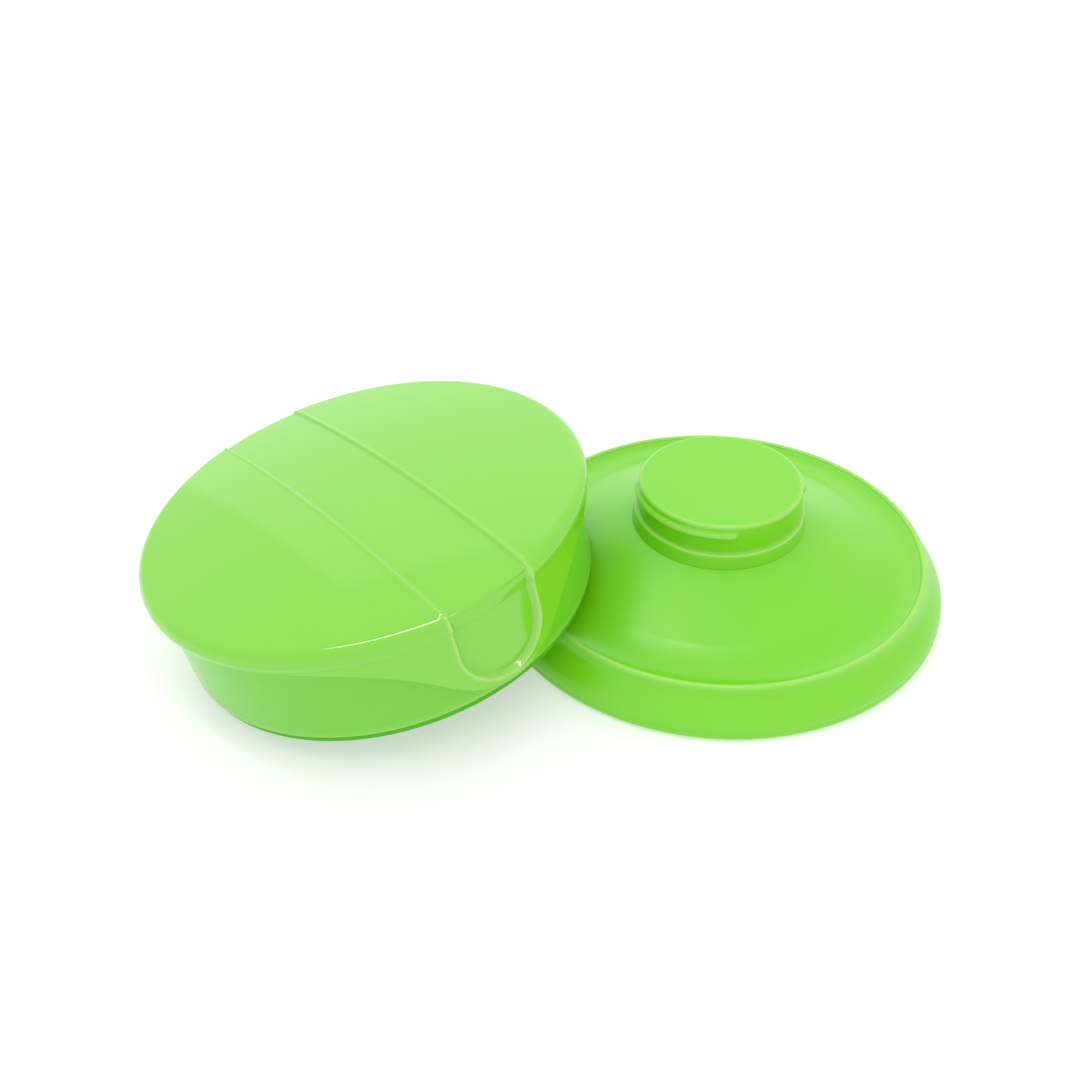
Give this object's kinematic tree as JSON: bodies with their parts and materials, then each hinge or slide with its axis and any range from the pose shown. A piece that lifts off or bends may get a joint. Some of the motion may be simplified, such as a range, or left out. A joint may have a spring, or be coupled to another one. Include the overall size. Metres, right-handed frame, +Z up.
{
  "type": "pill crusher",
  "caption": "Palm-sized round twist pill crusher in two halves: a domed cap with finger recesses leaning beside a low base with a central crushing boss.",
  "frame": {"origin": "centre of the lower half's flat underside, on the surface it stands on", "axes": "+Z up along the lower half's axis; -X towards the upper half, which leans on the lower half's rim"},
  "size_m": [0.1557, 0.0914, 0.0365],
  "materials": {
    "cap_plastic": "high gloss moulded, lime green",
    "drum_plastic": "satin gloss moulded, lime green",
    "base_plastic": "satin gloss moulded, lime green",
    "pad_plastic": "satin moulded, pale green"
  },
  "bodies": {
    "lower_half": {"base_shell": "base_plastic", "base_floor": "base_plastic", "crushing_boss": "base_plastic"},
    "pad": {"crushing_pad": "pad_plastic"},
    "upper_half": {"upper_cover": "cap_plastic", "upper_drum": "drum_plastic", "socket_plate": "drum_plastic"}
  },
  "joints": [
    {"name": "upper_lift", "type": "slide", "parent": "lower_half", "child": "pad", "axis": [-0.1745, 0.0102, 0.9846], "range_m": [0, 0.05]},
    {"name": "upper_turn", "type": "hinge", "parent": "pad", "child": "upper_half", "pos_m": [-0.06871, -0.00378, 0.02716], "axis": [-0.1745, 0.0102, 0.9846], "continuous": true}
  ]
}
